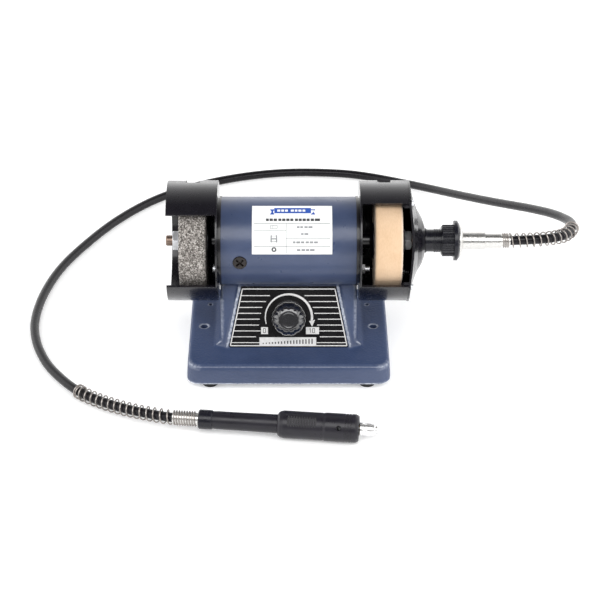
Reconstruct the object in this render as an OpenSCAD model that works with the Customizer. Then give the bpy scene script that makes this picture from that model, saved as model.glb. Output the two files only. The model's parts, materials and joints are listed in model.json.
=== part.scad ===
// Small two-wheel bench grinder with a flexible drive shaft and handpiece.
// Origin: bench surface, on the centre plane, straight below the spindle.
// X runs along the spindle to the drive end, Y to the rear, Z up. Millimetres.

/* [Motor] */
// Height of the spindle above the bench
spindle_h = 95; // [85:1:120]
// Outside diameter of the motor housing tube
housing_d = 66; // [60:0.5:70]
// Length of the motor housing tube
housing_len = 100; // [90:1:110]
// Wall of the motor housing tube
housing_wall = 2; // [1.5:0.1:2.5]

/* [Wheels] */
// Diameter of both wheels
wheel_d = 75; // [60:1:80]
// Thickness of both wheels
wheel_w = 20; // [12:1:20]
// Bore of both wheels
wheel_bore_d = 10; // [9.5:0.1:12]
// Outside diameter of the wheel guards
guard_d = 90; // [86:1:100]
// Distance from the centre plane to the inner face of each guard
guard_x = 52.5; // [50:0.5:60]
// Width of the guard strip, measured along the spindle
guard_w = 37.5; // [34:0.5:40]
// Thickness of the guard sheet
guard_t = 1.2; // [0.8:0.1:1.5]
// Angle from the top to the front lip of the left guard
left_lip = 36; // [10:1:60]
// Angle from the top to the front lip of the right guard
right_lip = 23; // [10:1:60]
// Angle from the top to the lower lip of both guards
lower_lip = 110; // [95:1:120]

/* [Base] */
// Width of the base at its foot
base_w = 153; // [140:1:180]
// Depth of the base
base_d = 115; // [100:1:130]
// Front edge of the base, in front of the spindle
base_front = 60; // [50:1:70]
// Height of the base plate
base_h = 16; // [12:1:20]
// Height of the rubber feet
foot_h = 5; // [3:0.5:8]
// Diameter of the rubber feet
foot_d = 13; // [10:0.5:16]
// Distance between the two bench fixing holes
fixing_span = 129.6; // [120:0.1:140]
// Diameter of the bench fixing holes
fixing_d = 5.8; // [5:0.1:7]

/* [Controls] */
// Backward lean of the control panel from the vertical
panel_lean = 24; // [15:1:35]
// Width of the control panel at its foot
panel_foot_w = 90.6; // [80:0.2:94]
// Width of the control panel at its head
panel_head_w = 71.4; // [60:0.2:80]
// Length of the control panel up the slope
panel_len = 46.4; // [40:0.2:50]
// Diameter of the speed knob at its foot
knob_d = 26.6; // [20:0.1:30]
// Height of the speed knob
knob_h = 15; // [10:0.5:20]

/* [Flexible shaft] */
// Outside diameter of the flexible shaft's sheath
sheath_d = 7; // [6:0.5:8]
// Outside diameter of the two anti-kink springs
spring_d = 11.4; // [11:0.1:12]
// Wire of the anti-kink springs
spring_wire = 1.1; // [0.9:0.1:1.2]
// Pitch of the open turns of the motor-end spring
motor_pitch = 5.2; // [3:0.1:6]
// Pitch of the open turns of the tool-end spring
tool_pitch = 5.4; // [3:0.1:6]
// Number of open turns on the motor-end spring
motor_turns = 12; // [6:1:16]
// Number of open turns on the tool-end spring
tool_turns = 15; // [6:1:20]

/* [Handpiece] */
// Direction of the handpiece, seen from above
tool_turn = -6; // [-10:1:0]
// Diameter of the handpiece grip
grip_d = 20; // [18:0.5:22]
// Diameter of the tool shank that the collet holds
collet_d = 2.4; // [1.6:0.1:3.2]

/* [Hidden] */
$fn = 96;
eps = 0.01;
hull_fn = 32;

// Colours
blue = [0.10, 0.15, 0.27];
black = [0.04, 0.04, 0.045];
dark = [0.12, 0.12, 0.13];
zinc = [0.75, 0.76, 0.78];
steel = [0.55, 0.56, 0.58];
chrome = [0.85, 0.86, 0.88];
brass = [0.75, 0.60, 0.30];
copper = [0.72, 0.42, 0.24];

// Motor
housing_r = housing_d / 2;
tube_bore_r = housing_r - housing_wall;
half_len = housing_len / 2;
bell_face = guard_x;
bearing_x = 48;
bearing_w = 7;
bearing_r = 11;
shaft_r = 4;
rotor_r = 5;
ball_r = 1.98;
ball_ring_r = 7.5;
race_gap = 0.05;
core_from = -20;
core_to = 18;
core_r = 16;
air_gap = 0.6;
brush_x = -36;
commutator_r = 10.5;
bolt_r = 2;
bolt_ring_r = 24;
bolt_angle = 122;

// Wheels and guards
guard_r = guard_d / 2;
guard_end = guard_x + guard_w;
cover_x = guard_end - 1.5;
left_wheel_in = 60.8;
right_wheel_in = 63.8;
wheel_r = wheel_d / 2;
flange_r = 13.5;
screw_ring_r = 41;
screw_clocks = [18, 117, 205, 290];
slot_angle = -31.5;
slot_len = 28.6;
slot_w = 10.4;
nut_af = 14;

// Base
base_top = foot_h + base_h;
base_mid_y = base_d / 2 - base_front;
corner_r = 10;
casting_wall = 4;
fixing_y = -3;
foot_x = 59;
foot_front_y = -50;
foot_rear_y = 45;
pedestal_w = 103;

// Control panel: its foot line on the casting
panel_t = 0.8;
panel_y = -33;
panel_z = 22;
knob_up = 22;

// Flexible shaft
spout_x = 98;
ferrule_face = 166;
ferrule_r = spring_d / 2 - spring_wire;
sheath_r = sheath_d / 2;
tool_ferrule_len = 19;
spring_r = (spring_d - spring_wire) / 2;
wrap_pitch = 1.6;

// Centre line of the sheath, from the motor ferrule to the tool ferrule
route = [
  [166, 0, 95], [181, 1, 95], [196, 5, 94], [208, 13, 92], [215, 25, 90], [218, 42, 86],
  [215, 61, 80], [207, 84, 72], [193, 114, 60], [171, 153, 44], [147, 196, 27],
  [124, 232, 14], [98, 259, 6], [66, 276, 3.5], [30, 282, 3.5], [-10, 281, 3.5],
  [-50, 271, 3.5], [-86, 254, 3.5], [-118, 230, 3.5], [-146, 196, 3.5], [-169, 156, 3.5],
  [-187, 115, 3.5], [-197, 74, 3.5], [-200, 35, 3.5], [-196, 4, 3.5], [-186, -25, 3.5],
  [-173, -48, 4.4], [-157, -69, 5.8], [-139, -83, 6.2], [-121, -94, 7.4], [-103, -103, 9],
  [-84, -110, 10.3]];
route_last = len(route) - 1;
start_way = [1, 0, 0];
end_way = [cos(tool_turn), sin(tool_turn), 0];
tool_at = route[route_last] + tool_ferrule_len * end_way;

function unit(v) = v / norm(v);
function knot(i) =
  i < 0 ? route[0] - 14 * start_way :
  i > route_last ? route[route_last] + 20 * end_way :
  route[i];
function spline(a, b, c, d, t) =
  0.5 * (2 * b + (c - a) * t + (2 * a - 5 * b + 4 * c - d) * t * t
  + (3 * b - a - 3 * c + d) * t * t * t);
function route_at(u) =
  let (i = min(floor(u), route_last - 1))
  spline(knot(i - 1), knot(i), knot(i + 1), knot(i + 2), u - i);

// Table of arc length against route parameter
route_steps = 10;
stations = [for (k = [0 : route_last * route_steps]) route_at(k / route_steps)];
arc_table = [
  for (k = 0, s = 0; k < len(stations);
    s = s + norm(stations[min(k + 1, len(stations) - 1)] - stations[k]), k = k + 1)
    [s, k / route_steps]];
sheath_len = arc_table[len(arc_table) - 1][0];

// Point, direction and cross directions at arc length s; straight beyond both ends
function along(s) =
  s < 0 ? route[0] + s * start_way :
  s > sheath_len ? route[route_last] + (s - sheath_len) * end_way :
  let (p = route_at(lookup(s, arc_table)))
  [p[0], p[1], max(p[2], sheath_r)];
function heading(s) = unit(along(s + 1) - along(s - 1));
function across(s) = unit(cross([0, 0, 1], heading(s)));
function over(s) = cross(heading(s), across(s));
function around(s, r, a) = along(s) + r * (cos(a) * across(s) + sin(a) * over(s));

// Solid through a list of rings that all have the same number of points
module through_rings(rings) {
  sides = len(rings[0]);
  last = len(rings) - 1;
  polyhedron(
    points = [for (ring = rings) each ring],
    faces = concat(
      [[for (j = [0 : sides - 1]) j]],
      [[for (j = [sides - 1 : -1 : 0]) last * sides + j]],
      [for (i = [0 : last - 1], j = [0 : sides - 1])
        let (k = (j + 1) % sides)
        each [[i * sides + j, (i + 1) * sides + j, (i + 1) * sides + k],
          [i * sides + j, (i + 1) * sides + k, i * sides + k]]]));
}

// Wire ring of a spring at arc length s, with the coil turned to angle a
function wire_ring(s, a) =
  let (out = unit(around(s, 1, a) - along(s)), way = heading(s), mid = around(s, spring_r, a))
  [for (b = [0 : 60 : 300]) mid + spring_wire / 2 * (cos(b) * out + sin(b) * way)];

// Spring from a list of [arc length, turns] stages, counted from its start
wire_steps = 12;
function stage_s(stages, t) = lookup(t, [for (g = stages) [g[1], g[0]]]);
module spring(stages) {
  turns = stages[len(stages) - 1][1];
  through_rings([
    for (k = [0 : turns * wire_steps])
      wire_ring(stage_s(stages, k / wire_steps), 360 * k / wire_steps)]);
}

// Frame of the spindle: local Z along +X. Angle zero points down.
module on_spindle() {
  translate([0, 0, spindle_h]) rotate([0, 90, 0]) children();
}

// Turns a child on the spindle frame so that its local X points at the angle
// given, counted from the top towards the front
module at_clock(angle) {
  rotate([0, 0, 180 + angle]) children();
}

// Copy of a child on the other side of the centre plane, in the spindle frame
module left_side() {
  mirror([0, 0, 1]) children();
}

// Frame of the control panel: local Z out of its face, local Y up its slope
module on_panel() {
  translate([0, panel_y, panel_z]) rotate([90 - panel_lean, 0, 0]) children();
}

// Frame of the handpiece: local Z along it, towards the collet
module on_tool() {
  translate(tool_at) rotate([0, 0, tool_turn]) rotate([0, 90, 0]) children();
}

// Tube along local Z
module tube(r_out, r_in, from, to) {
  difference() {
    translate([0, 0, from]) cylinder(r = r_out, h = to - from);
    translate([0, 0, from - 1]) cylinder(r = r_in, h = to - from + 2);
  }
}

module hexagon_nut(across_flats, bore_r, from, to) {
  flat_r = across_flats / 2 - 0.1;
  corner = across_flats / sqrt(3);
  bevel = (corner - flat_r) * 0.6;
  difference() {
    intersection() {
      translate([0, 0, from]) cylinder(r = corner, h = to - from, $fn = 6);
      rotate_extrude() polygon([[0, from], [flat_r, from], [corner, from + bevel],
        [corner, to - bevel], [flat_r, to], [0, to]]);
    }
    translate([0, 0, from - 1]) cylinder(r = bore_r, h = to - from + 2);
  }
}

module rounded_plate(w, d, r, h) {
  linear_extrude(h) {
    square([w - 2 * r, d], center = true);
    square([w, d - 2 * r], center = true);
    for (x = [-1, 1], y = [-1, 1])
      translate([x * (w / 2 - r), y * (d / 2 - r)]) circle(r = r);
  }
}

// ---- Base ----

module base_corner() {
  rotate_extrude($fn = hull_fn)
    polygon([[0, 0], [corner_r, 0], [corner_r - 0.8, base_h - 3],
      [corner_r - 1.6, base_h - 1], [corner_r - 3.4, base_h], [0, base_h]]);
}

module base_plate() {
  translate([0, base_mid_y, foot_h]) hull()
    for (x = [-1, 1], y = [-1, 1])
      translate([x * (base_w / 2 - corner_r), y * (base_d / 2 - corner_r), 0]) base_corner();
}

pedestal_round = 3;
pedestal_lean = tan(panel_lean);
rear_lean = 0.4;
pedestal_rear_y = 36;
pedestal_top = 68;

module pedestal_block() {
  half = pedestal_w / 2 - pedestal_round;
  foot = base_top - 4;
  front = panel_y + pedestal_round / cos(panel_lean) - (panel_z - foot) * pedestal_lean;
  rear = pedestal_rear_y - pedestal_round + (panel_z - foot) * rear_lean;
  rise = pedestal_top - foot;
  hull() for (x = [-half, half]) {
    translate([x, front, foot]) sphere(r = pedestal_round, $fn = hull_fn);
    translate([x, rear, foot]) sphere(r = pedestal_round, $fn = hull_fn);
    translate([x, front + rise * pedestal_lean, pedestal_top])
      sphere(r = pedestal_round, $fn = hull_fn);
    translate([x, rear - rise * rear_lean, pedestal_top])
      sphere(r = pedestal_round, $fn = hull_fn);
  }
}

// Low flared skirt where the pedestal runs into the base
module pedestal_skirt() {
  front = panel_y + 2;
  depth = pedestal_rear_y - front;
  hull() {
    translate([-pedestal_w / 2 - 4, front, base_top - 3]) cube([pedestal_w + 8, depth + 4, 3.5]);
    translate([-pedestal_w / 2, front, base_top]) cube([pedestal_w, depth, 4]);
  }
}

module panel_ridge() {
  on_panel() linear_extrude(3.2, center = true)
    polygon([[panel_foot_w / 2 + 0.3, -1.5], [panel_foot_w / 2 + 2.3, -1.5],
      [panel_head_w / 2 + 2.3, panel_len - 1], [panel_head_w / 2 + 0.3, panel_len - 1]]);
}

module panel_ridge_pair() {
  panel_ridge();
  mirror([1, 0, 0]) panel_ridge();
}

module pedestal_hollow() {
  wall = casting_wall;
  foot_y = panel_y + wall / cos(panel_lean) - 4 * pedestal_lean;
  head = 56;
  translate([-pedestal_w / 2 + wall, 0, 0]) rotate([90, 0, 90])
    linear_extrude(pedestal_w - 2 * wall)
      polygon([[foot_y, foot_h - 1], [foot_y, panel_z - 4],
        [foot_y + (head - panel_z + 4) * pedestal_lean, head],
        [pedestal_rear_y - wall - (head - panel_z) * rear_lean, head],
        [pedestal_rear_y - wall, panel_z], [pedestal_rear_y - wall, foot_h - 1]]);
}

module corner_places() {
  for (x = [-foot_x, foot_x], y = [foot_front_y, foot_rear_y]) translate([x, y, 0]) children();
}

module fixing_places() {
  for (x = [-1, 1]) translate([x * fixing_span / 2, fixing_y, 0]) children();
}

gland_x = 28;
gland_z = 11.5;

module base_casting() {
  color(blue) difference() {
    union() {
      difference() {
        union() {
          base_plate();
          pedestal_block();
          pedestal_skirt();
        }
        translate([0, base_mid_y, foot_h - 1])
          rounded_plate(base_w - 2 * casting_wall, base_d - 2 * casting_wall, corner_r - 4,
            base_h - casting_wall + 1);
        pedestal_hollow();
      }
      panel_ridge_pair();
      corner_places() translate([0, 0, foot_h + 1]) cylinder(r = 5, h = base_h - 3);
      fixing_places() translate([0, 0, foot_h + 1]) cylinder(r = 6, h = base_h - 2);
    }
    on_spindle() {
      translate([0, 0, -80]) cylinder(r = housing_r, h = 160);
      translate([0, 0, half_len - 0.1]) cylinder(r = housing_r + 0.6, h = 10);
      left_side() translate([0, 0, half_len - 0.1]) cylinder(r = housing_r + 0.6, h = 10);
    }
    fixing_places() translate([0, 0, foot_h - 1]) cylinder(d = fixing_d, h = base_h + 4);
    corner_places() translate([0, 0, foot_h - 1]) cylinder(r = 1.5, h = 11);
    for (x = [-61, 61]) translate([x, 29, base_top - 6]) cylinder(r = 1.4, h = 8);
    on_panel() translate([0, knob_up, -12]) cylinder(r = 3.6, h = 20);
    translate([gland_x, base_d - base_front + 2, gland_z]) rotate([90, 0, 0])
      cylinder(r = 4.5, h = 12);
    translate([8, 0, 50]) cylinder(r = 6, h = 30);
  }
}

module base_cover() {
  color(zinc) difference() {
    translate([0, base_mid_y, foot_h])
      rounded_plate(base_w - 2 * casting_wall - 0.4, base_d - 2 * casting_wall - 0.4,
        corner_r - 4, 1);
    fixing_places() translate([0, 0, foot_h - 1]) cylinder(d = fixing_d + 0.6, h = 3);
    corner_places() translate([0, 0, foot_h - 1]) cylinder(r = 1.8, h = 3);
  }
}

module rubber_feet() {
  color(black) corner_places() difference() {
    cylinder(r1 = foot_d / 2 - 0.7, r2 = foot_d / 2, h = foot_h);
    translate([0, 0, -1]) cylinder(r = 1.8, h = foot_h + 2);
    translate([0, 0, -1]) cylinder(r = 3.4, h = 3.2);
  }
}

module foot_screws() {
  color(zinc) corner_places() {
    translate([0, 0, 0.9]) cylinder(r = 2.9, h = 1.3);
    translate([0, 0, 2.2]) cylinder(r = 1.45, h = 11);
  }
}

module mains_gland() {
  rear = base_d - base_front;
  color(black) translate([gland_x, 0, gland_z]) rotate([-90, 0, 0]) difference() {
    union() {
      translate([0, 0, rear]) cylinder(r = 6, h = 2.6);
      translate([0, 0, rear - 5]) cylinder(r = 4.4, h = 6);
      translate([0, 0, rear + 1.5]) cylinder(r1 = 5, r2 = 4, h = 14);
      translate([0, 0, rear - 7]) cylinder(r = 5.2, h = 2.4);
    }
    translate([0, 0, rear - 10]) cylinder(r = 2.6, h = 30);
    for (z = [5 : 3 : 14]) translate([0, 0, rear + z]) rotate([0, 0, z * 30])
      translate([3.2, -6, 0]) cube([4, 12, 1.2]);
  }
}

// ---- Controls ----

module control_panel() {
  color(black) on_panel() difference() {
    translate([0, -0.8, 0]) linear_extrude(panel_t)
      polygon([[-panel_foot_w / 2, 0], [panel_foot_w / 2, 0],
        [panel_head_w / 2, panel_len], [-panel_head_w / 2, panel_len]]);
    translate([0, knob_up, -1]) cylinder(r = 3.6, h = 3);
  }
}

pot_back = 4.4;

module speed_potentiometer() {
  color(zinc) on_panel() translate([0, knob_up, 0]) difference() {
    union() {
      translate([0, 0, -pot_back - 9]) cylinder(r = 8.2, h = 9);
      translate([0, 0, -pot_back - 0.5]) cylinder(r = 3.5, h = pot_back + 4);
      translate([-6, -13, -pot_back - 6]) cube([12, 6, 1.2]);
    }
    translate([0, 0, -pot_back - 6]) cylinder(r = 3.06, h = 20);
  }
}

module potentiometer_nut() {
  color(brass) on_panel() translate([0, knob_up, 0]) hexagon_nut(10, 3.5, panel_t, panel_t + 2);
}

module potentiometer_shaft() {
  color(zinc) on_panel() translate([0, knob_up, -pot_back - 5.8]) cylinder(r = 3, h = 22);
}

module knob_outline() {
  r = knob_d / 2;
  polygon([[0, 1], [r, 1], [r, 3], [r - 0.3, 6], [r - 0.9, 9], [r - 1.8, 11.2], [r - 3, 12.9],
    [r - 4.4, 14], [r - 5.8, knob_h - 0.4], [r - 6.6, knob_h], [0, knob_h]]);
}

module speed_knob() {
  flutes = 12;
  color(black) on_panel() translate([0, knob_up, panel_t]) difference() {
    rotate_extrude() knob_outline();
    translate([0, 0, -1]) cylinder(r = 3, h = 12.6);
    translate([0, 0, 0.5]) cylinder(r = 8, h = 3.5);
    for (i = [0 : flutes - 1]) rotate([0, 0, (i + 0.5) * 360 / flutes])
      translate([knob_d / 2 + 1.3, 0, 3.2]) cylinder(r = 2.1, h = 20);
  }
}

module speed_board() {
  color([0.10, 0.35, 0.18]) translate([-30, -12, 9]) cube([60, 34, 1.6]);
  color(zinc) for (x = [-26, 26], y = [-8, 18]) translate([x, y, 6]) cylinder(r = 2, h = 3);
}

module board_components() {
  z = 10.6;
  color(dark) translate([-22, -6, z]) cube([11, 4.5, 15]);
  color(zinc) translate([-24, -1.4, z]) cube([15, 9, 1.6]);
  color([0.7, 0.5, 0.1]) translate([-4, -6, z]) cube([12, 6, 11]);
  color([0.2, 0.2, 0.5]) translate([18, -2, z]) cylinder(r = 4, h = 12);
  color(brass) translate([4, 12, z]) rotate([0, 90, 0])
    translate([-2, 0, 0]) cylinder(r = 1.9, h = 9);
  color([0.1, 0.4, 0.1]) translate([-20, 12, z]) cube([16, 8, 9]);
}

// ---- Motor, standing parts ----

module motor_housing() {
  color(blue) on_spindle() difference() {
    tube(housing_r, tube_bore_r, -half_len, half_len);
    for (side = [90, 270]) at_clock(side)
      translate([0, 0, brush_x]) rotate([0, 90, 0]) cylinder(r = 5.2, h = 40);
    at_clock(180) translate([0, 0, 8]) rotate([0, 90, 0]) cylinder(r = 6, h = 40);
  }
}

// End bell with its open side towards local -Z and its face at bell_face
module end_bell() {
  difference() {
    union() {
      translate([0, 0, half_len]) cylinder(r = housing_r + 0.4, h = 1.6);
      translate([0, 0, half_len + 1.5]) cylinder(r = housing_r - 1, h = bell_face - half_len - 1.5);
      tube(tube_bore_r - 0.1, tube_bore_r - 2.5, half_len - 6, half_len + 1);
      translate([0, 0, half_len - 6.5]) cylinder(r = bearing_r + 3, h = 8);
      for (i = [0 : 5]) rotate([0, 0, 32 + i * 60])
        translate([bearing_r + 2, -1, half_len - 4]) cube([tube_bore_r - bearing_r - 3.5, 2, 5]);
    }
    translate([0, 0, half_len - 7]) cylinder(r = 8.2, h = 20);
    translate([0, 0, bearing_x - bearing_w / 2 - 8]) cylinder(r = bearing_r, h = bearing_w + 8);
    bolt_places() cylinder(r = bolt_r + 0.2, h = 80);
  }
}

module bolt_places() {
  for (angle = [bolt_angle, -bolt_angle]) at_clock(angle) translate([bolt_ring_r, 0, 0]) children();
}

module end_bell_right() {
  color(black) on_spindle() end_bell();
}

module end_bell_left() {
  color(black) on_spindle() left_side() end_bell();
}

module stator_outline() {
  difference() {
    circle(r = tube_bore_r);
    circle(r = tube_bore_r - 4);
  }
  for (turn = [0, 180]) rotate(turn) {
    translate([core_r + 2, -7]) square([tube_bore_r - core_r - 4, 14]);
    difference() {
      circle(r = core_r + 3.4);
      circle(r = core_r + air_gap);
      rotate(57) translate([-40, 0]) square([80, 80]);
      rotate(-57) translate([-40, -80]) square([80, 80]);
    }
  }
}

module stator_core() {
  color(steel) on_spindle() translate([0, 0, core_from])
    linear_extrude(core_to - core_from) stator_outline();
}

module field_coils() {
  inner = core_to - core_from + 1;
  outer = inner + 11;
  color(copper) on_spindle() for (turn = [0, 180]) rotate([0, 0, turn])
    translate([core_r + 3.8, 0, (core_from + core_to) / 2]) rotate([0, 90, 0])
      linear_extrude(3.6) difference() {
        square([outer, 24], center = true);
        square([inner, 14.6], center = true);
      }
}

module brush_places() {
  for (side = [90, 270]) at_clock(side) translate([0, 0, brush_x]) rotate([0, 90, 0]) children();
}

module brush_holders() {
  color(brass) on_spindle() brush_places() difference() {
    translate([0, 0, 12.5]) cylinder(r = 4.6, h = 18);
    translate([-2.5, -3, 12]) cube([5, 6, 14]);
    translate([0, 0, 25.5]) cylinder(r = 3.6, h = 10);
  }
}

module carbon_brushes() {
  color(dark) on_spindle() difference() {
    brush_places() translate([-2.4, -2.9, 8]) cube([4.8, 5.8, 13]);
    translate([0, 0, brush_x - 10]) cylinder(r = commutator_r + 0.06, h = 20);
  }
}

// Compression spring behind each brush
module brush_springs() {
  turns = 5;
  length = 6.6;
  coil = 1.7;
  wire = 0.32;
  steps = 10;
  rings = [for (k = [0 : turns * steps])
    let (a = 360 * k / steps, out = [cos(a), sin(a), 0], rise = k * length / (turns * steps))
    [for (b = [0 : 60 : 300]) (coil + wire * cos(b)) * out + [0, 0, rise + wire * sin(b)]]];
  color(brass) on_spindle() brush_places() translate([0, 0, 21.4]) through_rings(rings);
}

module brush_caps() {
  color(black) on_spindle() brush_places() difference() {
    union() {
      translate([0, 0, 30.6]) cylinder(r = 5, h = 3);
      translate([0, 0, 28.4]) cylinder(r = 3.4, h = 3);
    }
    for (turn = [45, 135]) rotate([0, 0, turn]) translate([-3.6, -0.7, 31.8]) cube([7.2, 1.4, 4]);
  }
}

module bearing_sides() {
  for (x = [-bearing_x, bearing_x]) translate([0, 0, x - bearing_w / 2]) children();
}

module bearing_outer_rings() {
  color(steel) on_spindle() bearing_sides() difference() {
    tube(bearing_r, ball_ring_r + 1.1, 0, bearing_w);
    translate([0, 0, bearing_w / 2]) rotate_extrude()
      translate([ball_ring_r, 0]) circle(r = ball_r + race_gap);
  }
}

module bearing_inner_rings() {
  color(steel) on_spindle() bearing_sides() difference() {
    tube(ball_ring_r - 1.1, shaft_r, 0, bearing_w);
    translate([0, 0, bearing_w / 2]) rotate_extrude()
      translate([ball_ring_r, 0]) circle(r = ball_r + race_gap);
  }
}

module bearing_balls() {
  color(chrome) on_spindle() bearing_sides() for (i = [0 : 7]) rotate([0, 0, i * 45])
    translate([ball_ring_r, 0, bearing_w / 2]) sphere(r = ball_r, $fn = 32);
}

bolt_seat = guard_x + guard_t;

module tie_bolts() {
  color(zinc) on_spindle() bolt_places() {
    translate([0, 0, -bolt_seat]) cylinder(r = bolt_r, h = 2 * bolt_seat + 6.6);
    difference() {
      translate([0, 0, -bolt_seat - 2.6]) cylinder(r = 3.6, h = 2.6);
      translate([-2.4, -0.5, -bolt_seat - 3]) cube([4.8, 1, 1.6]);
    }
  }
}

module tie_nuts() {
  color(zinc) on_spindle() bolt_places() hexagon_nut(7, bolt_r, bolt_seat, bolt_seat + 3.2);
}

module rating_label() {
  color("white") on_spindle() translate([0, 0, -27]) at_clock(10)
    rotate_extrude(angle = 68) translate([housing_r, 0]) square([0.25, 59]);
}

// ---- Guards ----

// Section of the guard strip, open between the front lip and the lower lip
module strip_outline(lip) {
  reach = guard_d;
  mid = (lip + lower_lip) / 2;
  function clock(angle, r) = [-r * cos(angle), -r * sin(angle)];
  difference() {
    circle(r = guard_r);
    circle(r = guard_r - guard_t);
    polygon([[0, 0], clock(lip, reach), clock(mid, reach), clock(lower_lip, reach)]);
  }
}

// Guard on the +X side: inner plate, strip and a hem on each lip
module guard(lip, strip_end) {
  difference() {
    union() {
      translate([0, 0, guard_x]) cylinder(r = guard_r, h = guard_t);
      translate([0, 0, guard_x]) linear_extrude(strip_end - guard_x) strip_outline(lip);
      at_clock(lip) translate([guard_r - guard_t - 0.9, -1.6, guard_x + 0.5])
        cube([guard_t + 0.6, 1.4, strip_end - guard_x - 0.5]);
      at_clock(lower_lip) translate([guard_r - guard_t - 0.9, 0.2, guard_x + 0.5])
        cube([guard_t + 0.6, 1.4, strip_end - guard_x - 0.5]);
    }
    translate([0, 0, guard_x - 1]) cylinder(r = 8.2, h = 4);
    bolt_places() cylinder(r = bolt_r + 0.2, h = 80);
    at_clock(slot_angle) translate([guard_r - 8, -slot_len / 2, guard_x + guard_w / 2 - slot_w / 2])
      cube([12, slot_len, slot_w]);
  }
}

module left_guard() {
  color(black) on_spindle() left_side() guard(left_lip, guard_end);
}

module screw_places() {
  for (angle = screw_clocks) at_clock(angle) translate([screw_ring_r, 0, 0]) children();
}

// The lugs inside the strip take the screws of the cover
module right_guard() {
  color(black) on_spindle() difference() {
    union() {
      guard(right_lip, cover_x);
      screw_places() translate([-2.2, -2.5, cover_x - 5.4]) cube([5.2, 5, 1.2]);
    }
    screw_places() translate([0, 0, cover_x - 8]) cylinder(r = 1.1, h = 6);
  }
}

// Dished side cover of the right guard, cut back across the mouth
module right_guard_cover() {
  mouth_mid = (right_lip + lower_lip) / 2;
  mouth_cut = guard_r * cos((lower_lip - right_lip) / 2);
  color(black) on_spindle() difference() {
    union() {
      rotate_extrude() polygon([
        [8.4, 100.2], [11.4, 100], [17, 97.8], [23, 94.2], [32, 90.9], [43, 88.6], [43, cover_x],
        [guard_r + 0.5, cover_x], [guard_r + 0.5, cover_x + 1.2], [43, cover_x + 1.6],
        [33, 92.3], [24, 95.5], [18, 99.1], [12, 101.4], [8.4, 101.8]]);
      tube(guard_r - guard_t - 0.15, guard_r - guard_t - 1.2, cover_x - 4, cover_x + 0.2);
    }
    at_clock(mouth_mid) translate([mouth_cut, -60, 70]) cube([60, 120, 50]);
    screw_places() {
      translate([0, 0, cover_x - 3]) cylinder(r = 1.4, h = 8);
      translate([0, 0, screw_seat]) cylinder(r = 2.6, h = 4);
    }
  }
}

screw_seat = cover_x + 1.8;

module cover_screws() {
  color(zinc) on_spindle() screw_places() difference() {
    union() {
      translate([0, 0, cover_x - 5.8]) cylinder(r = 1.1, h = 8);
      translate([0, 0, screw_seat]) cylinder(r1 = 2.3, r2 = 1.9, h = 1.9);
    }
    for (turn = [0, 90]) rotate([0, 0, turn + 20])
      translate([-1.5, -0.3, screw_seat + 1]) cube([3, 0.6, 2]);
  }
}

// ---- Coupling and flexible shaft ----

module coupling_spout() {
  color(black) on_spindle() difference() {
    union() {
      translate([0, 0, spout_x]) cylinder(r = 8.4, h = 21);
      for (i = [0 : 2]) translate([0, 0, 109 + i * 1.7]) cylinder(r = 8.9, h = 0.9);
      translate([0, 0, 102]) cylinder(r = 9.2, h = 1);
    }
    translate([0, 0, spout_x - 1]) cylinder(r = 5.2, h = 30);
  }
}

module shaft_nut() {
  ribs = 14;
  color(black) on_spindle() difference() {
    union() {
      translate([0, 0, 114.2]) cylinder(r = 10.8, h = 10);
      for (i = [0 : ribs - 1]) rotate([0, 0, i * 360 / ribs])
        translate([10.4, 0, 115]) cylinder(r = 1.5, h = 9);
      translate([0, 0, 123.6]) cylinder(r = 15, h = 2.4);
      translate([0, 0, 126]) cylinder(r1 = 15, r2 = 13, h = 1.4);
    }
    translate([0, 0, 113]) cylinder(r = 8.45, h = 8.2);
    translate([0, 0, 120]) cylinder(r = 6.85, h = 10);
  }
}

module shaft_washer() {
  color(chrome) on_spindle() rotate_extrude() polygon([
    [6.82, 127.41], [12.6, 127.41], [12.4, 128.2], [11.2, 129.2], [9.2, 130], [6.82, 130.4]]);
}

module motor_ferrule() {
  color(chrome) on_spindle() difference() {
    union() {
      translate([0, 0, 119.3]) cylinder(r = 8.2, h = 1.7);
      translate([0, 0, 120.8]) cylinder(r = 6.8, h = 26.2);
      translate([0, 0, 146.9]) cylinder(r = 5.7, h = 12.1);
      translate([0, 0, 158.9]) cylinder(r = ferrule_r, h = ferrule_face - 158.9);
    }
    translate([0, 0, 118]) cylinder(r = 3.2, h = 22);
  }
}

module motor_end_spring() {
  wrap = ferrule_face - 160.2;
  wrap_turns = floor(wrap / wrap_pitch);
  open_len = motor_turns * motor_pitch;
  color(chrome) spring([
    [-wrap, 0], [-wrap + wrap_turns * wrap_pitch, wrap_turns],
    [open_len - wrap + wrap_turns * wrap_pitch, wrap_turns + motor_turns],
    [open_len - wrap + wrap_turns * wrap_pitch + 2 * wrap_pitch, wrap_turns + motor_turns + 2]]);
}

sheath_rings = 58;

module flex_sheath() {
  color(dark) through_rings([
    for (k = [0 : sheath_rings]) [for (a = [0 : 30 : 330])
      around(k * sheath_len / sheath_rings, sheath_r, a)]]);
}

module tool_end_spring() {
  wrap_turns = 9;
  wrap_len = tool_ferrule_len - 1;
  open_len = tool_turns * tool_pitch;
  head = sheath_len + 0.5;
  tail = head - open_len;
  color(chrome) spring([
    [tail - 2 * wrap_pitch, 0], [tail, 2], [head, 2 + tool_turns],
    [head + wrap_len - 1, 2 + tool_turns + wrap_turns]]);
}

module tool_ferrule() {
  color(chrome) on_tool() difference() {
    translate([0, 0, -tool_ferrule_len]) cylinder(r = ferrule_r, h = tool_ferrule_len + 6);
    translate([0, 0, -8]) cylinder(r = 2.6, h = 20);
  }
}

// ---- Handpiece ----

collar_end = 10.3;
body_end = 60;
grip_start = 57.5;
nose_start = 90;
nose_end = 116.3;
grip_r = grip_d / 2;
nose_r = grip_r + 0.3;
lock_at = 102.3;
tool_shaft_r = 3;

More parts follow.
